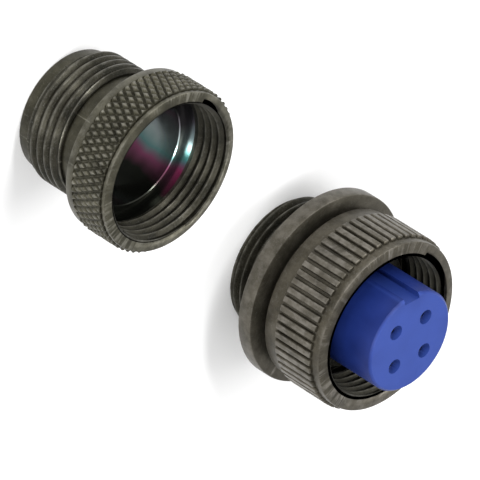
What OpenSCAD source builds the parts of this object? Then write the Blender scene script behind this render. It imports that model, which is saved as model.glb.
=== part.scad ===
// Circular threaded-coupling plug connector with four socket contacts, and its
// endbell standing beside it.  Millimetres, +Z up.  The origin is on the plug's
// axis at the rear end of its shell, where the plug stands.

/* [Plug shell] */
// Diameter over the rear accessory thread
rear_thread_d = 20.0; // [18.8:0.1:22]
// Length of the rear accessory thread
rear_thread_len = 6.6; // [6:0.1:9]
// Bevel at the start of the rear thread
rear_thread_bevel = 0.55; // [0.2:0.05:0.8]
// Diameter of the wrench flange
flange_d = 28.5; // [26:0.1:32]
// Thickness of the wrench flange
flange_t = 2.35; // [1.5:0.05:4]
// Small bevel on the flange's edges
flange_bevel = 0.2; // [0.05:0.05:0.4]
// Diameter of the shoulder that the coupling nut bears on
shoulder_d = 21.6; // [20.6:0.1:23]
// Height of that shoulder above the flange
shoulder_h = 1.25; // [0.6:0.05:2.5]
// Diameter of the barrel that the coupling nut turns on
barrel_d = 18.6; // [18:0.1:19.6]
// Length of the barrel in front of the nut's ring
barrel_nose_len = 1.3; // [0.8:0.1:3]
// Bore of the shell behind its front lip
shell_bore_d = 16.4; // [16.1:0.1:16.8]
// How far the front lip, which stops the insert, starts behind the nut's ring
lip_behind_ring = 0.35; // [0.2:0.05:1]

/* [Coupling nut] */
// Diameter of the plain bands at both ends of the nut
nut_band_d = 25.6; // [24.4:0.1:26]
// Diameter over the grip ribs
nut_rib_d = 26.5; // [26.1:0.1:28]
// Number of grip ribs
rib_count = 60; // [30:1:72]
// Width of the groove between two ribs
rib_groove_w = 0.52; // [0.3:0.02:0.7]
// Length of the plain band behind the ribs
nut_rear_band = 2.4; // [1.5:0.1:3.5]
// Length of the grip ribs
rib_len = 6.8; // [5:0.1:9]
// Length of the plain band in front of the ribs
nut_front_band = 1.3; // [0.8:0.1:2]
// Bevel on the outer edges of the nut
nut_bevel = 0.2; // [0.1:0.05:0.4]
// Minor diameter of the coupling thread (7/8-20 UNEF)
coupling_minor_d = 20.9; // [20.7:0.1:21.6]
// Length of the relief behind the coupling thread
nut_relief_len = 2.0; // [1.4:0.1:3]
// Bevel at the mouth of the coupling thread
coupling_bevel = 0.15; // [0.05:0.05:0.3]
// Diameter of the relief behind the coupling thread
nut_relief_d = 22.6; // [22:0.1:23.4]
// Thickness of the inner lip that turns on the barrel
nut_lip_t = 1.95; // [1.5:0.05:2.5]

/* [Snap rings] */
// Thickness of the ring that keeps the nut on the barrel
nut_ring_t = 0.8; // [0.5:0.05:1]
// Outer diameter of the ring that keeps the nut on the barrel
nut_ring_d = 20.2; // [19.8:0.1:20.6]
// Depth of its groove in the barrel
nut_ring_groove = 0.5; // [0.3:0.05:0.6]
// Gap angle of the nut's ring
nut_ring_gap = 24; // [10:1:60]
// Thickness of the ring that holds the inserts
insert_ring_t = 0.8; // [0.5:0.05:1]
// Inner diameter of the ring that holds the inserts
insert_ring_id = 14.6; // [13.6:0.1:15.4]
// Depth of its groove in the shell bore
insert_ring_groove = 0.5; // [0.3:0.05:0.55]
// Distance of that groove from the rear end
insert_ring_z = 4.2; // [3:0.1:4.6]
// Gap angle of the inserts' ring
insert_ring_gap = 40; // [20:1:80]

/* [Inserts] */
// Diameter of the front insert where it stands in the nut
insert_d = 15.2; // [14.6:0.1:15.4]
// How far the front insert stands out of the nut
insert_reach = 4.65; // [2:0.05:7]
// Bevel round the front insert's face
insert_bevel = 0.33; // [0.1:0.01:0.6]
// Thickness of the rear insert
rear_insert_t = 3.6; // [2.5:0.1:4.2]
// Width of the polarising keyway
keyway_w = 2.7; // [2:0.1:3.4]
// Depth of the polarising keyway
keyway_depth = 0.95; // [0.6:0.05:1.2]
// Direction of the polarising keyway
keyway_angle = 225; // [0:1:359]

/* [Contacts] */
// Number of socket contacts
contact_count = 4; // [4:1:4]
// Diameter of the circle through the contacts
contact_circle_d = 7.92; // [7.4:0.02:8.2]
// Direction of the first contact
contact_angle = 0; // [0:1:359]
// Diameter of the pin holes in the insert's face
pin_hole_d = 2.2; // [2:0.05:2.4]
// Thickness of the insert in front of the contacts
pin_hole_len = 1.3; // [0.8:0.1:2]
// Bore of the socket, for a 1.59 mm pin
socket_bore_d = 1.66; // [1.62:0.01:1.7]
// Depth of the socket's bore
socket_bore_len = 9.2; // [7.5:0.1:10]
// Diameter of the socket's slotted barrel
socket_barrel_d = 2.4; // [2.3:0.02:2.44]
// Width of the slot in the socket's barrel
socket_slot_w = 0.35; // [0.2:0.05:0.5]
// Diameter of the hood sleeve and of the stem below it
sleeve_d = 2.8; // [2.72:0.02:2.86]
// Length of the hood sleeve
sleeve_len = 10.2; // [9:0.1:11]
// Diameter of the contact's collar
collar_d = 3.5; // [3.3:0.05:3.6]
// Thickness of the contact's collar
collar_t = 0.8; // [0.5:0.05:1.2]
// Outer diameter of the rear stem and solder cup
cup_d = 2.4; // [2.2:0.02:2.5]
// Bore of the solder cup
cup_bore_d = 1.9; // [1.6:0.02:2]
// Depth of the solder cup's bore
cup_bore_len = 3.5; // [2.5:0.1:3.8]
// Length of the cut that opens the solder cup's side
cup_cut_len = 2.2; // [1:0.1:2.4]
// Height of the solder cups above the shell's rear end
cup_recess = 0.9; // [0.4:0.1:1.2]

/* [Endbell] */
// Diameter over the endbell's rear thread (3/4-20 UNEF)
clamp_thread_d = 19.05; // [18.6:0.05:19.6]
// Length of the plain pilot behind the rear thread
pilot_len = 2.0; // [1:0.1:3]
// Diameter of the pilot and of the neck
pilot_d = 17.4; // [16.8:0.1:17.8]
// Bevel at the end of the pilot
pilot_bevel = 0.3; // [0.1:0.05:0.5]
// Length of the endbell's rear thread
clamp_thread_len = 6.4; // [4:0.1:7]
// Bevel at both ends of the rear thread
clamp_thread_bevel = 0.5; // [0.2:0.05:0.6]
// Length of the neck behind the grip
neck_len = 3.85; // [2:0.05:5]
// Diameter of the plain band behind the knurl
rear_band_d = 23.16; // [22.4:0.02:23.4]
// Length of the plain band behind the knurl
rear_band_len = 1.4; // [0.8:0.1:2]
// Diameter over the knurl's points
knurl_d = 23.62; // [23.5:0.02:24.4]
// Depth of the diamond knurl
knurl_depth = 0.42; // [0.2:0.02:0.5]
// Length of the knurl
knurl_len = 5.1; // [4:0.1:8]
// Number of diamonds round the knurl
knurl_count = 63; // [36:1:72]
// Number of half rows of diamonds along the knurl
knurl_rows = 5; // [4:1:8]
// Diameter of the plain band at the mouth
front_band_d = 22.84; // [22:0.02:23.4]
// Length of the plain band at the mouth
front_band_len = 0.65; // [0.4:0.05:1.5]
// Bevel on the outer edges of the grip
endbell_bevel = 0.15; // [0.05:0.05:0.3]
// Thread depth, from the plug's rear thread down to the endbell's minor diameter
mouth_thread_depth = 0.53; // [0.4:0.01:0.7]
// Bevel at the mouth
mouth_bevel = 0.45; // [0.2:0.05:0.6]
// Diameter of the relief behind the mouth thread
mouth_relief_d = 20.4; // [20.1:0.1:20.8]
// Length of that relief
mouth_relief_len = 1.0; // [0.6:0.1:2]
// Thickness of the wall between the shelf in the mouth and the neck
shelf_wall = 0.85; // [0.6:0.05:1.2]
// Bore through the rear of the endbell
cable_bore_d = 15.4; // [14:0.1:15.8]

/* [Placing] */
// Distance of the endbell's axis from the plug's, towards the front (-Y)
endbell_dist = 58.6; // [30:0.1:90]
// Sideways offset of the endbell's axis
endbell_side = -1.9; // [-10:0.1:10]

/* [Fits] */
// Radial running clearance between the nut's lip and the barrel
nut_clear = 0.06; // [0.03:0.01:0.1]
// Axial play of the nut at its shoulder and under its ring
nut_play = 0.1; // [0.05:0.01:0.2]
// Clearance of the inserts in the shell
insert_clear = 0.05; // [0.03:0.01:0.1]
// Clearance round the contacts in the inserts
contact_clear = 0.05; // [0.03:0.01:0.08]
// Clearance of a snap ring in its groove
ring_clear = 0.04; // [0.02:0.01:0.08]

/* [Hidden] */
$fn = 96;

olive = "#4a4638";
blue = "#2436b4";
steel = "#9aa0a6";
silver = "#c8c8cc";

// Heights of the plug, from its rear end up
z_flange = rear_thread_len;
z_flange_top = z_flange + flange_t;
z_shoulder = z_flange_top + shoulder_h;
z_nut = z_shoulder + nut_play;
z_nut_lip_top = z_nut + nut_lip_t;
z_thread_start = z_nut_lip_top + nut_relief_len;
z_ribs = z_nut + nut_rear_band;
z_ribs_top = z_ribs + rib_len;
z_nut_top = z_ribs_top + nut_front_band;
z_nut_ring = z_nut_lip_top + nut_play;
z_shell_lip = z_nut_ring - lip_behind_ring;
z_barrel_top = z_nut_ring + nut_ring_t + barrel_nose_len;
z_face = z_nut_top + insert_reach;
z_rear_insert = insert_ring_z + insert_ring_t;
z_joint = z_rear_insert + rear_insert_t;
z_pin_hole = z_face - pin_hole_len;
z_collar_top = z_joint + collar_t;
z_sleeve_top = z_pin_hole - contact_clear;
z_sleeve = z_sleeve_top - sleeve_len;
z_socket_top = z_sleeve_top - ring_clear;

// Radii that several pieces share
shell_bore_r = shell_bore_d / 2;
lip_bore_r = insert_d / 2 + insert_clear;
insert_ring_r = shell_bore_r + insert_ring_groove;
nut_ring_groove_r = barrel_d / 2 - nut_ring_groove;
nut_lip_r = barrel_d / 2 + nut_clear;
collar_pocket_r = collar_d / 2 + contact_clear;
collar_pocket_top = z_collar_top + contact_clear;
contact_cavity_r = sleeve_d / 2 + contact_clear;
cup_hole_r = cup_d / 2 + contact_clear;

// Heights of the endbell, from its rear end up
z_clamp_thread = pilot_len;
z_neck = z_clamp_thread + clamp_thread_len;
z_rear_band = z_neck + neck_len;
z_knurl = z_rear_band + rear_band_len;
z_front_band = z_knurl + knurl_len;
z_mouth = z_front_band + front_band_len;
z_shelf = z_rear_band + shelf_wall;
z_mouth_thread = z_shelf + mouth_relief_len;
mouth_minor_d = rear_thread_d - 2 * mouth_thread_depth;
// The grip's core lies this far under the knurl's pits
knurl_floor = 0.1;
// The knurl's ring is rooted this deep in the grip's core
knurl_root = 0.3;
// The grip ribs are rooted this deep in the nut
rib_root = 0.2;
// Cutting tools run this far past what they cut
over = 1;

// Turned solid: outline points are [radius, height]
module turned(outline) {
    rotate_extrude() polygon(outline);
}

// Plain ring between two radii
module ring(r_in, r_out, z, h) {
    translate([0, 0, z]) difference() {
        cylinder(r = r_out, h = h);
        translate([0, 0, -over]) cylinder(r = r_in, h = h + 2 * over);
    }
}

// Open snap ring with a gap centred on the angle "at"
module snap_ring(r_in, r_out, z, h, gap, at) {
    reach = 2 * r_out;
    difference() {
        ring(r_in, r_out, z, h);
        translate([0, 0, z - over]) linear_extrude(h + 2 * over) polygon([
            [0, 0],
            [reach * cos(at - gap / 2), reach * sin(at - gap / 2)],
            [reach * cos(at + gap / 2), reach * sin(at + gap / 2)]
        ]);
    }
}

// Moves its children to contact number i, turned to face outwards
module at_contact(i) {
    rotate([0, 0, contact_angle + (i - 1) * 360 / contact_count])
        translate([contact_circle_d / 2, 0, 0]) children();
}

module plug_shell() {
    thread_r = rear_thread_d / 2;
    flange_r = flange_d / 2;
    color(olive) difference() {
        turned([
            [lip_bore_r, 0],
            [thread_r - rear_thread_bevel, 0],
            [thread_r, rear_thread_bevel],
            [thread_r, z_flange],
            [flange_r - flange_bevel, z_flange],
            [flange_r, z_flange + flange_bevel],
            [flange_r, z_flange_top - flange_bevel],
            [flange_r - flange_bevel, z_flange_top],
            [shoulder_d / 2, z_flange_top],
            [shoulder_d / 2, z_shoulder],
            [barrel_d / 2, z_shoulder],
            [barrel_d / 2, z_barrel_top],
            [lip_bore_r, z_barrel_top]
        ]);
        translate([0, 0, -over]) cylinder(r = shell_bore_r, h = z_shell_lip + over);
        translate([0, 0, insert_ring_z])
            cylinder(r = insert_ring_r, h = insert_ring_t + ring_clear);
        ring(nut_ring_groove_r, barrel_d, z_nut_ring, nut_ring_t + ring_clear);
    }
}

module coupling_nut() {
    band_r = nut_band_d / 2;
    rib_r = nut_rib_d / 2;
    minor_r = coupling_minor_d / 2;
    relief_r = nut_relief_d / 2;
    root_r = band_r - rib_root;
    color(olive) union() {
        turned([
            [nut_lip_r, z_nut],
            [band_r - nut_bevel, z_nut],
            [band_r, z_nut + nut_bevel],
            [band_r, z_nut_top - nut_bevel],
            [band_r - nut_bevel, z_nut_top],
            [minor_r + coupling_bevel, z_nut_top],
            [minor_r, z_nut_top - coupling_bevel],
            [minor_r, z_thread_start],
            [relief_r, z_thread_start],
            [relief_r, z_nut_lip_top],
            [nut_lip_r, z_nut_lip_top]
        ]);
        difference() {
            ring(root_r, rib_r, z_ribs, rib_len);
            for (i = [0 : rib_count - 1]) rotate([0, 0, (i + 0.5) * 360 / rib_count])
                translate([root_r - over, -rib_groove_w / 2, z_ribs - over])
                    cube([rib_r - root_r + 2 * over, rib_groove_w, rib_len + 2 * over]);
        }
    }
}

module nut_snap_ring() {
    color(steel) snap_ring(nut_ring_groove_r + ring_clear, nut_ring_d / 2,
        z_nut_ring, nut_ring_t, nut_ring_gap, keyway_angle);
}

module insert_front() {
    body_r = insert_d / 2;
    shoulder_r = shell_bore_r - insert_clear;
    color(blue) difference() {
        turned([
            [0, z_joint],
            [shoulder_r, z_joint],
            [shoulder_r, z_shell_lip - insert_clear],
            [body_r, z_shell_lip - insert_clear],
            [body_r, z_face - insert_bevel],
            [body_r - insert_bevel, z_face],
            [0, z_face]
        ]);
        for (i = [1 : contact_count]) at_contact(i) {
            cylinder(r = pin_hole_d / 2, h = z_face + over);
            cylinder(r = contact_cavity_r, h = z_pin_hole);
            cylinder(r = collar_pocket_r, h = collar_pocket_top);
        }
        rotate([0, 0, keyway_angle])
            translate([body_r - keyway_depth, -keyway_w / 2, z_barrel_top + insert_clear])
                cube([2 * keyway_depth, keyway_w, z_face]);
    }
}

module insert_rear() {
    color(blue) translate([0, 0, z_rear_insert]) difference() {
        cylinder(r = shell_bore_r - insert_clear, h = rear_insert_t);
        for (i = [1 : contact_count]) at_contact(i)
            translate([0, 0, -over])
                cylinder(r = cup_hole_r, h = rear_insert_t + 2 * over);
    }
}

module insert_snap_ring() {
    color(steel) snap_ring(insert_ring_id / 2, insert_ring_r - ring_clear,
        insert_ring_z, insert_ring_t, insert_ring_gap, keyway_angle + 180);
}

// Socket contact: slotted barrel on a stem, a collar and a solder cup
module socket(i) {
    slot_len = socket_bore_len - socket_barrel_d / 2;
    cup_cut = 2 * cup_d;
    color(silver) at_contact(i) difference() {
        turned([
            [0, cup_recess],
            [cup_d / 2, cup_recess],
            [cup_d / 2, z_joint],
            [collar_d / 2, z_joint],
            [collar_d / 2, z_collar_top],
            [sleeve_d / 2, z_collar_top],
            [sleeve_d / 2, z_sleeve],
            [socket_barrel_d / 2, z_sleeve],
            [socket_barrel_d / 2, z_socket_top],
            [0, z_socket_top]
        ]);
        translate([0, 0, z_socket_top - socket_bore_len])
            cylinder(r = socket_bore_d / 2, h = socket_bore_len + over);
        translate([-socket_barrel_d, -socket_slot_w / 2, z_socket_top - slot_len])
            cube([2 * socket_barrel_d, socket_slot_w, slot_len + over]);
        cylinder(r = cup_bore_d / 2, h = cup_recess + cup_bore_len);
        translate([0, -cup_cut / 2, 0]) cube([cup_cut, cup_cut, cup_recess + cup_cut_len]);
    }
}

// Hood sleeve round a socket's slotted barrel
module sleeve(i) {
    color(steel) at_contact(i)
        ring(socket_barrel_d / 2 + ring_clear / 2, sleeve_d / 2, z_sleeve, sleeve_len);
}

// Ring of diamond knurling: a grid of points and pits, wrapped round the axis
module diamond_knurl(r_core, r_pit, r_point, count, rows, len) {
    cols = 2 * count;
    angle = 360 / cols;
    function at(r, c, z) = [r * cos(c * angle), r * sin(c * angle), z];
    outer = [for (n = [0 : rows]) for (c = [0 : cols - 1])
        at((c + n) % 2 == 0 ? r_point : r_pit, c, n * len / rows)];
    inner = [for (n = [0, 1]) for (c = [0 : cols - 1]) at(r_core, c, n * len)];
    base = len(outer);
    function o(n, c) = n * cols + c % cols;
    function k(n, c) = base + n * cols + c % cols;
    polyhedron(
        points = concat(outer, inner),
        faces = concat(
            [for (n = [0 : rows - 1]) for (c = [0 : cols - 1])
                for (t = (c + n) % 2 == 0
                    ? [[o(n, c), o(n + 1, c), o(n, c + 1)],
                       [o(n + 1, c), o(n + 1, c + 1), o(n, c + 1)]]
                    : [[o(n, c), o(n + 1, c), o(n + 1, c + 1)],
                       [o(n, c), o(n + 1, c + 1), o(n, c + 1)]]) t],
            [for (c = [0 : cols - 1]) [o(0, c), o(0, c + 1), k(0, c + 1), k(0, c)]],
            [for (c = [0 : cols - 1]) [o(rows, c + 1), o(rows, c), k(1, c), k(1, c + 1)]],
            [for (c = [0 : cols - 1]) [k(0, c), k(0, c + 1), k(1, c + 1), k(1, c)]]
        )
    );
}

module endbell() {
    clamp_r = clamp_thread_d / 2;
    pilot_r = pilot_d / 2;
    rear_band_r = rear_band_d / 2;
    front_band_r = front_band_d / 2;
    knurl_r = knurl_d / 2;
    core_r = knurl_r - knurl_depth - knurl_floor;
    minor_r = mouth_minor_d / 2;
    color(olive) translate([endbell_side, -endbell_dist, 0]) difference() {
        union() {
            turned([
                [0, 0],
                [pilot_r - pilot_bevel, 0],
                [pilot_r, pilot_bevel],
                [pilot_r, z_clamp_thread],
                [clamp_r - clamp_thread_bevel, z_clamp_thread],
                [clamp_r, z_clamp_thread + clamp_thread_bevel],
                [clamp_r, z_neck - clamp_thread_bevel],
                [clamp_r - clamp_thread_bevel, z_neck],
                [pilot_r, z_neck],
                [pilot_r, z_rear_band],
                [rear_band_r - endbell_bevel, z_rear_band],
                [rear_band_r, z_rear_band + endbell_bevel],
                [rear_band_r, z_knurl],
                [core_r, z_knurl],
                [core_r, z_front_band],
                [front_band_r, z_front_band],
                [front_band_r, z_mouth - endbell_bevel],
                [front_band_r - endbell_bevel, z_mouth],
                [0, z_mouth]
            ]);
            translate([0, 0, z_knurl])
                diamond_knurl(core_r - knurl_root, knurl_r - knurl_depth, knurl_r,
                    knurl_count, knurl_rows, knurl_len);
        }
        turned([
            [0, -over],
            [cable_bore_d / 2, -over],
            [cable_bore_d / 2, z_shelf],
            [mouth_relief_d / 2, z_shelf],
            [mouth_relief_d / 2, z_mouth_thread],
            [minor_r, z_mouth_thread],
            [minor_r, z_mouth - mouth_bevel],
            [minor_r + mouth_bevel, z_mouth],
            [minor_r + mouth_bevel, z_mouth + over],
            [0, z_mouth + over]
        ]);
    }
}

plug_shell();
coupling_nut();
nut_snap_ring();
insert_front();
insert_rear();
insert_snap_ring();
socket(1);  // socket_1
socket(2);  // socket_2
socket(3);  // socket_3
socket(4);  // socket_4
sleeve(1);  // sleeve_1
sleeve(2);  // sleeve_2
sleeve(3);  // sleeve_3
sleeve(4);  // sleeve_4
endbell();
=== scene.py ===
import math

import bmesh
import bpy
from mathutils import Matrix, Vector


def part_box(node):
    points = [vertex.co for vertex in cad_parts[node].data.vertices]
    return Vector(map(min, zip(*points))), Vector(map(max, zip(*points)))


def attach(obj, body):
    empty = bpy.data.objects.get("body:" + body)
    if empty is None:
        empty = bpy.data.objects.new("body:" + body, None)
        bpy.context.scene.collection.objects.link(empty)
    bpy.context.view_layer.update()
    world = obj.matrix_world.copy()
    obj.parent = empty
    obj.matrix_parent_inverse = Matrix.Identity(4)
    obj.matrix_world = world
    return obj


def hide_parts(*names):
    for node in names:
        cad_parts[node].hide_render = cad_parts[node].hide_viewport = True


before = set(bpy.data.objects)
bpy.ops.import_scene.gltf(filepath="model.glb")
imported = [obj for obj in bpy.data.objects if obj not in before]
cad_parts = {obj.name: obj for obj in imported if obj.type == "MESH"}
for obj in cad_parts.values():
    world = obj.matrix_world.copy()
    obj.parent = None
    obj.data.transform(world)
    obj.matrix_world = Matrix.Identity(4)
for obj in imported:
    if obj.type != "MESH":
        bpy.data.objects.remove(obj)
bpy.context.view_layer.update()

MM = 0.001
TAU = 2 * math.pi
PITCH = 1.27  # 20 threads to the inch

# ---------------------------------------------------------------- sizes, mm
REAR_R, REAR_Z0, REAR_Z1 = 10.0, 0.0, 6.6
FLANGE_R, FLANGE_TOP = 14.25, 8.95
SHOULDER_R, SHOULDER_TOP = 10.8, 10.2
BARREL_R, BARREL_TOP = 9.3, 14.45
SHELL_BORE_R, LIP_R, LIP_Z = 8.2, 7.65, 12.0
RING_GROOVE_Z, RING_GROOVE_H = 12.35, 0.84
NUT_Z0, NUT_LIP_TOP, NUT_THREAD_Z, NUT_TOP = 10.3, 12.25, 14.25, 20.8
NUT_BAND_R, NUT_RIB_R, NUT_MINOR_R, NUT_RELIEF_R, NUT_LIP_R = 12.8, 13.25, 10.45, 11.3, 9.36
RIB_Z0, RIB_Z1, RIBS, RIB_GROOVE_W = 12.7, 19.5, 60, 0.52
THREAD_DEPTH, REAR_BEVEL, NUT_MOUTH_BEVEL = 0.62, 0.55, 0.16
RUNOUT = 0.9  # length over which a thread fades into the plain wall
RING_GROOVE_DEPTH, INSERT_RING_Z0, INSERT_RING_Z1 = 0.5, 4.2, 5.04
EDGE, EDGE_MID = 0.2, 0.06  # rounding of an outer edge, and its middle point

lo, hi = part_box("endbell")
EB = ((lo.x + hi.x) / 2 / MM, (lo.y + hi.y) / 2 / MM)
EB_PILOT_R, EB_CLAMP_R, EB_CLAMP_Z0, EB_CLAMP_Z1 = 8.7, 9.525, 2.0, 8.4
EB_BAND_Z, EB_KNURL_Z0, EB_KNURL_Z1, EB_TOP = 12.25, 13.65, 18.75, 19.4
EB_BAND_R, EB_KNURL_R, EB_FRONT_R = 11.58, 11.81, 11.42
EB_KNURL_DEPTH, EB_KNURLS, EB_KNURL_PITCH = 0.42, 63, 2.04
EB_SHELF_Z, EB_RELIEF_R, EB_THREAD_Z, EB_MINOR_R, EB_BORE_R = 13.1, 10.2, 14.1, 9.47, 7.7
EB_CLAMP_DEPTH, EB_CLAMP_BEVEL, EB_MOUTH_DEPTH, EB_MOUTH_BEVEL = 0.6, 0.5, 0.58, 0.45
EB_EDGE, EB_EDGE_MID = 0.15, 0.04


WORLD_LEVEL = 0.55
# name, azimuth, elevation, distance m, width m, height m, watts
LAMPS = (
    ("left", -134, 42, 0.60, 0.10, 0.30, 2.10),
    ("right", -47, 42, 0.60, 0.10, 0.30, 1.80),
    ("front", -90, 14, 0.60, 0.08, 0.20, 0.70),
    ("top", 150, 62, 0.60, 0.30, 0.30, 1.35),
)


# ---------------------------------------------------------------- mesh tools
def new_object(name, verts, faces, materials, body, sharp=32, which=None):
    mesh = bpy.data.meshes.new(name)
    mesh.from_pydata([(x * MM, y * MM, z * MM) for x, y, z in verts], [], faces)
    if which:
        mesh.polygons.foreach_set("material_index", which)
    mesh.update()
    bm = bmesh.new()
    bm.from_mesh(mesh)
    bmesh.ops.remove_doubles(bm, verts=bm.verts, dist=1e-7)
    bmesh.ops.recalc_face_normals(bm, faces=bm.faces)
    bm.to_mesh(mesh)
    bm.free()
    for p in mesh.polygons:
        p.use_smooth = True
    mesh.set_sharp_from_angle(angle=math.radians(sharp))
    obj = bpy.data.objects.new(name, mesh)
    bpy.context.scene.collection.objects.link(obj)
    for m in materials:
        obj.data.materials.append(m)
    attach(obj, body)
    return obj


def lathe(name, outline, angles, shape, centre, materials, body, sharp=32, paint=None):
    """Closed outline of (r, z) or (r, z, tag) turned about an upright axis.

    shape(tag, r, z, k, angle) gives the point's own (r, z) at that angle, and
    paint(tag, r, z) the number of the material on the face that starts there."""
    verts, faces, which = [], [], []
    n, m = len(outline), len(angles)
    for k, a in enumerate(angles):
        c, s = math.cos(a), math.sin(a)
        for p in outline:
            tag = p[2] if len(p) > 2 else None
            r, z = shape(tag, p[0], p[1], k, a) if tag else (p[0], p[1])
            verts.append((centre[0] + r * c, centre[1] + r * s, z))
    for k in range(m):
        k2 = (k + 1) % m
        for j in range(n):
            j2 = (j + 1) % n
            faces.append((k * n + j, k2 * n + j, k2 * n + j2, k * n + j2))
            if paint:
                p = outline[j]
                which.append(paint(p[2] if len(p) > 2 else None, p[0], p[1]))
    return new_object(name, verts, faces, materials, body, sharp, which)


def evenly(count):
    return [i * TAU / count for i in range(count)]


def smooth_step(x):
    x = max(0.0, min(1.0, x))
    return x * x * (3 - 2 * x)


def thread_points(z0, z1, tag):
    """Outline points of a helical thread from z0 up to z1; their heights are set for each angle."""
    turns = math.ceil((z1 - z0) / PITCH) + 1
    return [(0.0, float(i), tag) for i in range(4 * turns + 1)]


def thread_height(i, angle, z0, z1):
    """Height of thread point i, and whether it is a crest (1) or a root (0)."""
    turn, step = divmod(i, 4)
    share = (0.0, 0.14, 0.5, 0.64)[step]
    z = z0 + (turn - 1 + share + angle / TAU) * PITCH
    return max(z0, min(z1, z)), 1.0 if step in (0, 1) else 0.0


def outside_thread(z0, z1, major, depth, bevel0, bevel1, runout):
    """Shape of an outside thread: bevels at its ends, and a run-out at the far one."""
    def shape(r, z, k, a):
        h, crest = thread_height(int(z), a, z0, z1)
        rr = major - (0 if crest else depth)
        if runout > 0:
            rr = max(rr, major - depth * smooth_step((z1 - h) / runout))
        if bevel0 > 0:
            rr = min(rr, major - bevel0 + (h - z0))
        if bevel1 > 0:
            rr = min(rr, major - bevel1 + (z1 - h))
        return rr, h
    return shape


def inside_thread(z0, z1, minor, depth, bevel_top, start):
    def shape(r, z, k, a):
        h, crest = thread_height(int(z), a, z0, z1)
        rr = minor + (0 if crest else depth)
        if start > 0:
            rr = min(rr, minor + depth * smooth_step((h - z0) / start))
        if bevel_top > 0:
            rr = max(rr, minor + bevel_top - (z1 - h))
        return rr, h
    return shape


# ---------------------------------------------------------------- materials
class Nodes:
    """Small helper for one node material."""

    def __init__(self, name):
        self.mat = bpy.data.materials.new(name)
        self.mat.use_nodes = True
        self.tree = self.mat.node_tree
        self.tree.nodes.clear()
        self.out = self.add("ShaderNodeOutputMaterial")
        self.bsdf = self.add("ShaderNodeBsdfPrincipled")
        self.link(self.bsdf.outputs[0], self.out.inputs[0])
        self.coord = self.add("ShaderNodeTexCoord").outputs["Object"]

    def add(self, kind, **inputs):
        node = self.tree.nodes.new(kind)
        for key, value in inputs.items():
            if key in node.inputs.keys():
                node.inputs[key].default_value = value
            else:
                setattr(node, key, value)
        return node

    def link(self, a, b):
        self.tree.links.new(a, b)

    def noise(self, scale, detail=3.0, rough=0.5, vector=None):
        node = self.add("ShaderNodeTexNoise", Scale=scale, Detail=detail, Roughness=rough)
        self.link(vector or self.coord, node.inputs["Vector"])
        return node.outputs[0]

    def ramp(self, value, stops):
        node = self.add("ShaderNodeValToRGB")
        self.link(value, node.inputs[0])
        e = node.color_ramp.elements
        while len(e) < len(stops):
            e.new(0.5)
        for i, (pos, col) in enumerate(stops):
            e[i].position = pos
            e[i].color = (*col, 1) if len(col) == 3 else col
        return node.outputs[0]

    def mix(self, factor, a, b, mode="MIX"):
        node = self.add("ShaderNodeMix", data_type="RGBA", blend_type=mode)
        for sock, v in ((node.inputs[0], factor), (node.inputs[6], a), (node.inputs[7], b)):
            if hasattr(v, "is_output"):
                self.link(v, sock)
            elif isinstance(v, (int, float)):
                sock.default_value = v
            else:
                sock.default_value = (*v, 1)
        return node.outputs[2]

    def span(self, value, low, high, to_low, to_high):
        node = self.add("ShaderNodeMapRange")
        self.link(value, node.inputs[0])
        for i, v in enumerate((low, high, to_low, to_high)):
            node.inputs[i + 1].default_value = v
        return node.outputs[0]

    def bump(self, height, strength, distance):
        node = self.add("ShaderNodeBump", Strength=strength, Distance=distance)
        self.link(height, node.inputs["Height"])
        self.link(node.outputs[0], self.bsdf.inputs["Normal"])
        return node

    def set(self, name, value):
        sock = self.bsdf.inputs[name]
        if hasattr(value, "is_output"):
            self.link(value, sock)
        elif isinstance(value, (tuple, list)) and len(value) == 3:
            sock.default_value = (*value, 1)
        else:
            sock.default_value = value


def plated(name, dark, mid, light, rub, rough_low, rough_high, metallic=0.75):
    """Satin olive drab plating: fine turned grain, cloudy colour, specks and rubbed edges, with painted
    shade darkening its creases.
    """
    n = Nodes(name)
    cloud = n.noise(380.0, 4.0, 0.6)
    fine = n.noise(5200.0, 3.0, 0.6)
    colour = n.ramp(cloud, [(0.30, dark), (0.5, mid), (0.70, light)])
    speck = n.ramp(fine, [(0.56, (0, 0, 0)), (0.74, (1, 1, 1))])
    colour = n.mix(0.05, colour, speck, "SCREEN")
    dust = n.ramp(n.noise(2400.0, 2.0, 0.5), [(0.30, (0.72, 0.72, 0.72)), (0.46, (1, 1, 1))])
    colour = n.mix(0.6, colour, dust, "MULTIPLY")
    geo = n.add("ShaderNodeNewGeometry")
    patch = n.span(n.noise(700.0, 3.0, 0.6), 0.42, 0.62, 0.25, 1.0)
    edge = n.span(geo.outputs["Pointiness"], 0.515, 0.60, 0.0, 0.7)
    rubbed = n.add("ShaderNodeMath", operation="MULTIPLY")
    n.link(edge, rubbed.inputs[0])
    n.link(patch, rubbed.inputs[1])
    colour = n.mix(rubbed.outputs[0], colour, rub)
    # Painted shade: concave places (low pointiness) are darkened towards near black.
    crease_shade = n.span(geo.outputs["Pointiness"], 0.40, 0.49, 0.62, 0.0)
    n.set("Base Color", n.mix(crease_shade, colour, (0.012, 0.011, 0.008)))
    n.set("Metallic", metallic)
    n.set("Roughness", n.span(fine, 0.3, 0.7, rough_low, rough_high))
    n.set("Specular IOR Level", 0.4)
    mapped = n.add("ShaderNodeMapping")
    mapped.inputs["Scale"].default_value = (260.0, 260.0, 5200.0)
    n.link(n.coord, mapped.inputs["Vector"])
    turned = n.noise(1.0, 2.0, 0.6, mapped.outputs[0])
    both = n.mix(0.5, turned, fine)
    n.bump(both, 0.22, 0.00005)
    return n.mat


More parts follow.
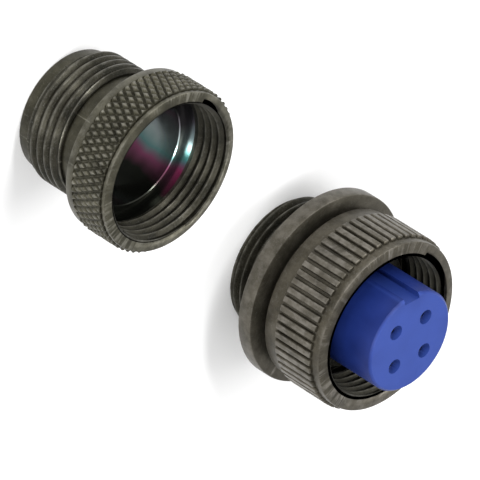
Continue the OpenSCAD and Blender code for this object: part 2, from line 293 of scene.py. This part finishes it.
def smooth_bore(name, centre):
    """Dark glossy bore: its near-black colour is painted shade, and the patch on its far (+Y) side is
    partly the teal and pink iridescence of thin plating, partly a painted reflection.
    """
    n = Nodes(name)
    cloud = n.noise(300.0, 3.0, 0.5)
    # Painted shade: the bore's base colour is near black, far darker than the endbell plating.
    base = n.ramp(cloud, [(0.35, (0.020, 0.021, 0.016)), (0.65, (0.040, 0.040, 0.032))])
    shift = n.add("ShaderNodeVectorMath", operation="SUBTRACT")
    n.link(n.coord, shift.inputs[0])
    shift.inputs[1].default_value = (centre[0] * MM, centre[1] * MM, 0.0082)
    sep = n.add("ShaderNodeSeparateXYZ")
    n.link(shift.outputs[0], sep.inputs[0])
    turn = n.add("ShaderNodeMath", operation="ARCTAN2")
    n.link(sep.outputs[1], turn.inputs[0])
    n.link(sep.outputs[0], turn.inputs[1])
    wob = n.span(n.noise(170.0, 2.0, 0.5), 0.0, 1.0, -0.35, 0.35)
    angle = n.add("ShaderNodeMath", operation="ADD")
    n.link(turn.outputs[0], angle.inputs[0])
    n.link(wob, angle.inputs[1])
    # Patch on the far (+Y) wall above the lowest part of the bore: teal and pink iridescence of thin
    # plating, with a pale stop that is a painted reflection.
    tint_and_painted_reflection = n.ramp(n.span(angle.outputs[0], 1.0, 2.9, 0.0, 1.0),
                  [(0.10, (0.030, 0.032, 0.026)), (0.30, (0.34, 0.10, 0.20)), (0.45, (0.16, 0.34, 0.33)),
                   (0.62, (0.42, 0.50, 0.50)), (0.78, (0.16, 0.15, 0.17)), (0.95, (0.030, 0.030, 0.024))])
    high = n.span(sep.outputs[2], -0.0075, -0.003, 0.0, 1.0)
    n.set("Base Color", n.mix(high, base, tint_and_painted_reflection))
    n.set("Metallic", 0.9)
    n.set("Roughness", n.span(cloud, 0.3, 0.7, 0.14, 0.24))
    return n.mat


def moulded(name, deep, bright):
    n = Nodes(name)
    cloud = n.noise(260.0, 3.0, 0.5)
    grain = n.noise(9000.0, 2.0, 0.6)
    colour = n.ramp(cloud, [(0.3, deep), (0.7, bright)])
    geo = n.add("ShaderNodeNewGeometry")
    # Painted highlight: convex edges are lightened towards a brighter blue.
    edge = n.span(geo.outputs["Pointiness"], 0.52, 0.60, 0.0, 0.45)
    n.set("Base Color", n.mix(edge, colour, (0.05, 0.10, 0.42)))
    n.set("Roughness", n.span(grain, 0.3, 0.7, 0.40, 0.54))
    n.set("Specular IOR Level", 0.2)
    n.bump(grain, 0.10, 0.00003)
    return n.mat


def bright_metal(name, a, b, rough):
    n = Nodes(name)
    cloud = n.noise(900.0, 3.0, 0.5)
    n.set("Base Color", n.ramp(cloud, [(0.35, a), (0.65, b)]))
    n.set("Metallic", 1.0)
    n.set("Roughness", n.span(cloud, 0.3, 0.7, rough, rough + 0.12))
    return n.mat


NUT_METAL = plated("nut_plating", (0.034, 0.030, 0.021), (0.058, 0.051, 0.036), (0.088, 0.079, 0.060),
                   (0.30, 0.28, 0.25), 0.34, 0.48)
SHELL_METAL = plated("shell_plating", (0.036, 0.032, 0.022), (0.058, 0.052, 0.038), (0.084, 0.076, 0.058),
                     (0.27, 0.25, 0.22), 0.36, 0.50)
ENDBELL_METAL = plated("endbell_plating", (0.024, 0.022, 0.013), (0.044, 0.041, 0.026),
            (0.072, 0.067, 0.046),
                       (0.28, 0.27, 0.23), 0.34, 0.50)
# Darker copy of the plating for the threads and the inner walls: painted shade for these recesses.
PAINTED_SHADE_METAL = plated("painted_shade_plating", (0.012, 0.012, 0.008), (0.026, 0.024, 0.016), (0.045, 0.042, 0.030),
                    (0.30, 0.29, 0.25), 0.26, 0.42)
BORE_METAL = smooth_bore("smooth_bore", EB)
INSERT_BLUE = moulded("insert_moulding", (0.006, 0.017, 0.115), (0.011, 0.027, 0.165))
RING_STEEL = bright_metal("ring_steel", (0.40, 0.40, 0.42), (0.58, 0.58, 0.60), 0.25)
CONTACT_SILVER = bright_metal("contact_silver", (0.66, 0.64, 0.58), (0.82, 0.80, 0.75), 0.18)

# ---------------------------------------------------------------- plug shell
REAR_THREAD_TOP = REAR_Z1 - 0.15
rear = outside_thread(REAR_Z0, REAR_THREAD_TOP, REAR_R, THREAD_DEPTH, REAR_BEVEL, 0, RUNOUT)


def shell_shape(tag, r, z, k, a):
    return rear(r, z, k, a)


# Material 1, the darker plating, is painted shade on the rear thread and the inner parts of the shell.
def shell_paint(tag, r, z):
    return 1 if tag == "rear" or r < BARREL_R + 0.1 else 0


outline = [(SHELL_BORE_R, 0.12), (SHELL_BORE_R + 0.12, 0.0)]
outline += thread_points(REAR_Z0, REAR_THREAD_TOP, "rear")
outline += [(REAR_R + 0.05, REAR_Z1), (FLANGE_R - EDGE, REAR_Z1), (FLANGE_R - EDGE_MID, REAR_Z1 + EDGE_MID),
            (FLANGE_R, REAR_Z1 + EDGE), (FLANGE_R, FLANGE_TOP - EDGE),
            (FLANGE_R - EDGE_MID, FLANGE_TOP - EDGE_MID),
            (FLANGE_R - EDGE, FLANGE_TOP), (SHOULDER_R + 0.1, FLANGE_TOP), (SHOULDER_R, FLANGE_TOP + 0.1),
            (SHOULDER_R, SHOULDER_TOP - 0.05), (SHOULDER_R - 0.05, SHOULDER_TOP), (BARREL_R, SHOULDER_TOP),
            (BARREL_R, RING_GROOVE_Z), (BARREL_R - RING_GROOVE_DEPTH, RING_GROOVE_Z),
            (BARREL_R - RING_GROOVE_DEPTH, RING_GROOVE_Z + RING_GROOVE_H),
            (BARREL_R, RING_GROOVE_Z + RING_GROOVE_H),
            (BARREL_R, BARREL_TOP - 0.12), (BARREL_R - 0.12, BARREL_TOP), (LIP_R + 0.1, BARREL_TOP),
            (LIP_R, BARREL_TOP - 0.1), (LIP_R, LIP_Z), (SHELL_BORE_R, LIP_Z),
            (SHELL_BORE_R, INSERT_RING_Z1),
            (SHELL_BORE_R + RING_GROOVE_DEPTH, INSERT_RING_Z1),
            (SHELL_BORE_R + RING_GROOVE_DEPTH, INSERT_RING_Z0), (SHELL_BORE_R, INSERT_RING_Z0)]
SHELL_ANGLES = 288
shell = lathe("plug_shell_detail", outline, evenly(SHELL_ANGLES), shell_shape, (0, 0),
              [SHELL_METAL, PAINTED_SHADE_METAL], "plug", paint=shell_paint)
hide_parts("plug_shell")

# ---------------------------------------------------------------- coupling nut
groove = RIB_GROOVE_W / NUT_RIB_R
step = TAU / RIBS
rib_angles, rib_heights = [], []
for i in range(RIBS):
    base = i * step
    for da, h in ((-step / 2, 0.0), (-step / 2 + groove * 0.32, 0.02), (-step / 2 + groove * 0.5, 0.82),
                  (-step / 2 + groove * 0.5 + 0.006, 1.0), (0.0, 1.0),
                  (step / 2 - groove * 0.5 - 0.006, 1.0), (step / 2 - groove * 0.5, 0.82),
                  (step / 2 - groove * 0.32, 0.02)):
        rib_angles.append(base + da)
        rib_heights.append(h)
order = sorted(range(len(rib_angles)), key=lambda i: rib_angles[i])
rib_angles = [rib_angles[i] for i in order]
rib_heights = [rib_heights[i] for i in order]

coupling = inside_thread(NUT_THREAD_Z, NUT_TOP, NUT_MINOR_R, THREAD_DEPTH, NUT_MOUTH_BEVEL, RUNOUT)


def nut_shape(tag, r, z, k, a):
    if tag == "coupling":
        return coupling(r, z, k, a)
    # the rib's height above the band, which r carries as a share
    return NUT_BAND_R + (NUT_RIB_R - NUT_BAND_R) * r * rib_heights[k], z


outline = [(NUT_LIP_R, NUT_Z0 + 0.05), (NUT_LIP_R + 0.05, NUT_Z0), (NUT_BAND_R - EDGE, NUT_Z0),
           (NUT_BAND_R - EDGE_MID, NUT_Z0 + EDGE_MID), (NUT_BAND_R, NUT_Z0 + EDGE),
            (NUT_BAND_R, RIB_Z0 - 0.02)]
for z, share in ((RIB_Z0, 0.0), (RIB_Z0 + 0.02, 0.7), (RIB_Z0 + 0.1, 0.95), (RIB_Z0 + 0.2, 1.0),
                 (RIB_Z1 - 0.2, 1.0), (RIB_Z1 - 0.1, 0.95), (RIB_Z1 - 0.02, 0.7), (RIB_Z1, 0.0)):
    outline.append((share, z, "rib"))
outline += [(NUT_BAND_R, RIB_Z1 + 0.02), (NUT_BAND_R, NUT_TOP - EDGE),
            (NUT_BAND_R - EDGE_MID, NUT_TOP - EDGE_MID),
            (NUT_BAND_R - EDGE, NUT_TOP)]
outline += list(reversed(thread_points(NUT_THREAD_Z, NUT_TOP, "coupling")))
outline += [(NUT_RELIEF_R - 0.1, NUT_THREAD_Z), (NUT_RELIEF_R, NUT_THREAD_Z - 0.1),
            (NUT_RELIEF_R, NUT_LIP_TOP + 0.1), (NUT_RELIEF_R - 0.1, NUT_LIP_TOP), (NUT_LIP_R, NUT_LIP_TOP)]


# Material 1, the darker plating, is painted shade on the coupling thread and the nut's inner walls.
def nut_paint(tag, r, z):
    return 1 if tag == "coupling" or (tag is None and r <= NUT_RELIEF_R) else 0


nut = lathe("coupling_nut_detail", outline, rib_angles, nut_shape, (0, 0), [NUT_METAL, PAINTED_SHADE_METAL],
            "nut", paint=nut_paint)
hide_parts("coupling_nut")

# ---------------------------------------------------------------- endbell
CELL = 8  # grid steps along one diamond


def diamond(angle, z):
    """Height of the knurl, 0 in its grooves and 1 on the flat top of a diamond."""
    u = angle * EB_KNURLS / TAU
    v = (z - EB_KNURL_Z0) / EB_KNURL_PITCH
    groove_a = abs((u + v) % 1.0 - 0.5) * 2
    groove_b = abs((u - v) % 1.0 - 0.5) * 2
    rise = 1 - max(groove_a, groove_b)
    return min(1.0, rise / 0.62)


clamp = outside_thread(EB_CLAMP_Z0, EB_CLAMP_Z1, EB_CLAMP_R, EB_CLAMP_DEPTH,
                       EB_CLAMP_BEVEL, EB_CLAMP_BEVEL, 0)
mouth = inside_thread(EB_THREAD_Z, EB_TOP, EB_MINOR_R, EB_MOUTH_DEPTH, EB_MOUTH_BEVEL, RUNOUT)


def endbell_shape(tag, r, z, k, a):
    if tag == "clamp":
        return clamp(r, z, k, a)
    if tag == "mouth":
        return mouth(r, z, k, a)
    return EB_KNURL_R - EB_KNURL_DEPTH * (1 - diamond(a, z)), z


outline = [(EB_BORE_R, 0.15), (EB_BORE_R + 0.15, 0.0), (EB_PILOT_R - 0.3, 0.0), (EB_PILOT_R - 0.1, 0.1),
           (EB_PILOT_R, 0.3), (EB_PILOT_R, EB_CLAMP_Z0)]
outline += thread_points(EB_CLAMP_Z0, EB_CLAMP_Z1, "clamp")
outline += [(EB_PILOT_R, EB_CLAMP_Z1 + 0.02), (EB_PILOT_R, EB_BAND_Z - EB_EDGE),
            (EB_PILOT_R + EB_EDGE, EB_BAND_Z), (EB_BAND_R - EB_EDGE, EB_BAND_Z),
            (EB_BAND_R - EB_EDGE_MID, EB_BAND_Z + EB_EDGE_MID), (EB_BAND_R, EB_BAND_Z + EB_EDGE),
            (EB_BAND_R, EB_KNURL_Z0 - 0.25), (EB_BAND_R - 0.3, EB_KNURL_Z0 - 0.05)]
rows = int(round((EB_KNURL_Z1 - EB_KNURL_Z0) / EB_KNURL_PITCH * CELL))
for i in range(rows + 1):
    outline.append((1.0, EB_KNURL_Z0 + (EB_KNURL_Z1 - EB_KNURL_Z0) * i / rows, "knurl"))
outline += [(EB_FRONT_R - 0.25, EB_KNURL_Z1 + 0.03), (EB_FRONT_R, EB_KNURL_Z1 + EB_EDGE),
            (EB_FRONT_R, EB_TOP - EB_EDGE), (EB_FRONT_R - EB_EDGE_MID, EB_TOP - EB_EDGE_MID),
            (EB_FRONT_R - EB_EDGE, EB_TOP)]
outline += list(reversed(thread_points(EB_THREAD_Z, EB_TOP, "mouth")))
outline += [(EB_RELIEF_R, EB_THREAD_Z), (EB_RELIEF_R, EB_SHELF_Z), (EB_BORE_R + 0.12, EB_SHELF_Z),
            (EB_BORE_R, EB_SHELF_Z - 0.12)]


# Material 1, the darker plating, is painted shade on both threads; material 2, the near-black bore, is
# painted shade on the bore, relief and shelf.
def endbell_paint(tag, r, z):
    if tag in ("clamp", "mouth"):
        return 1
    if tag is None and r <= EB_RELIEF_R and z > 0.2:
        return 2 if r < EB_PILOT_R - 0.5 or r > EB_CLAMP_R or z == EB_SHELF_Z else 0
    return 0


endbell = lathe("endbell_detail", outline, evenly(EB_KNURLS * CELL), endbell_shape, EB,
                [ENDBELL_METAL, PAINTED_SHADE_METAL, BORE_METAL], "endbell", paint=endbell_paint)
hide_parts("endbell")

# ---------------------------------------------------------------- other nodes
for n in ("nut_snap_ring", "insert_snap_ring", "sleeve_1", "sleeve_2", "sleeve_3", "sleeve_4"):
    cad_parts[n].data.materials.clear()
    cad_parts[n].data.materials.append(RING_STEEL)
for n in ("socket_1", "socket_2", "socket_3", "socket_4"):
    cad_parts[n].data.materials.clear()
    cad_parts[n].data.materials.append(CONTACT_SILVER)
for n in ("insert_front", "insert_rear"):
    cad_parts[n].data.materials.clear()
    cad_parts[n].data.materials.append(INSERT_BLUE)

# ---------------------------------------------------------------- floor, lights
FLOOR_HALF = 6.0  # metres
mesh = bpy.data.meshes.new("floor")
mesh.from_pydata([(x * FLOOR_HALF, y * FLOOR_HALF, 0) for x, y in ((-1, -1), (1, -1), (1, 1), (-1, 1))],
                 [], [(0, 1, 2, 3)])
floor = bpy.data.objects.new("floor", mesh)
bpy.context.scene.collection.objects.link(floor)
f = Nodes("floor_paper")
path = f.add("ShaderNodeLightPath")
seen = f.add("ShaderNodeMath", operation="MAXIMUM")
f.link(path.outputs["Is Camera Ray"], seen.inputs[0])
f.link(path.outputs["Is Glossy Ray"], seen.inputs[1])
f.set("Base Color", f.mix(seen.outputs[0], (0.80, 0.80, 0.80), (0.97, 0.97, 0.97)))
f.set("Roughness", 1.0)
f.set("Specular IOR Level", 0.0)
floor.data.materials.append(f.mat)

world = bpy.data.worlds.new("studio")
bpy.context.scene.world = world
world.use_nodes = True
tree = world.node_tree
background = tree.nodes["Background"]
background.inputs[0].default_value = (1, 1, 1, 1)
path = tree.nodes.new("ShaderNodeLightPath")
seen = tree.nodes.new("ShaderNodeMath")
seen.operation = "MAXIMUM"
tree.links.new(path.outputs["Is Camera Ray"], seen.inputs[0])
tree.links.new(path.outputs["Is Transmission Ray"], seen.inputs[1])
shown = tree.nodes.new("ShaderNodeMath")
shown.operation = "MAXIMUM"
tree.links.new(seen.outputs[0], shown.inputs[0])
tree.links.new(path.outputs["Is Glossy Ray"], shown.inputs[1])
level = tree.nodes.new("ShaderNodeMapRange")
tree.links.new(shown.outputs[0], level.inputs[0])
level.inputs[3].default_value = WORLD_LEVEL
level.inputs[4].default_value = 1.0
tree.links.new(level.outputs[0], background.inputs[1])


LAMP_TARGET = Vector((-0.001, -0.028, 0.010))


def softbox(name, azimuth, elevation, distance, size_x, size_y, power):
    """Area lamp aimed at the object. Azimuth is where it stands, -90 in front on the -Y side."""
    a, e = math.radians(azimuth), math.radians(elevation)
    way = Vector((math.cos(a) * math.cos(e), math.sin(a) * math.cos(e), math.sin(e)))
    light = bpy.data.lights.new(name, "AREA")
    light.shape = "RECTANGLE"
    light.size, light.size_y, light.energy = size_x, size_y, power
    obj = bpy.data.objects.new(name, light)
    obj.location = LAMP_TARGET + way * distance
    obj.rotation_euler = way.to_track_quat("Z", "Y").to_euler()
    bpy.context.scene.collection.objects.link(obj)
    return obj


for lamp in LAMPS:
    softbox(*lamp)

# ---------------------------------------------------------------- camera
VIEW_TILT, VIEW_ROLL = math.radians(54.26), math.radians(122.21)
DISTANCE, FOCAL_PX, AIM_PX = 0.900, 6760.0, (-14.5, -14.6)
PHOTO_PX, SENSOR_MM = 480.0, 36.0
AIM = Vector((0, -0.029, 0.010))
back = Vector((0, -math.sin(VIEW_TILT), math.cos(VIEW_TILT)))
side, top = Vector((1, 0, 0)), Vector((0, math.cos(VIEW_TILT), math.sin(VIEW_TILT)))
right = math.cos(VIEW_ROLL) * side + math.sin(VIEW_ROLL) * top
up = -math.sin(VIEW_ROLL) * side + math.cos(VIEW_ROLL) * top
cam_data = bpy.data.cameras.new("camera")
cam = bpy.data.objects.new("camera", cam_data)
bpy.context.scene.collection.objects.link(cam)
cam_data.sensor_width = SENSOR_MM
cam_data.lens = FOCAL_PX / PHOTO_PX * SENSOR_MM
cam_data.clip_start, cam_data.clip_end = 0.05, 20.0
place = (AIM + DISTANCE * back - right * (AIM_PX[0] / FOCAL_PX * DISTANCE)
         + up * (AIM_PX[1] / FOCAL_PX * DISTANCE))
cam.matrix_world = Matrix((
    (right.x, up.x, back.x, place.x),
    (right.y, up.y, back.y, place.y),
    (right.z, up.z, back.z, place.z),
    (0, 0, 0, 1)))
bpy.context.scene.camera = cam
bpy.context.scene.view_settings.view_transform = "Standard"
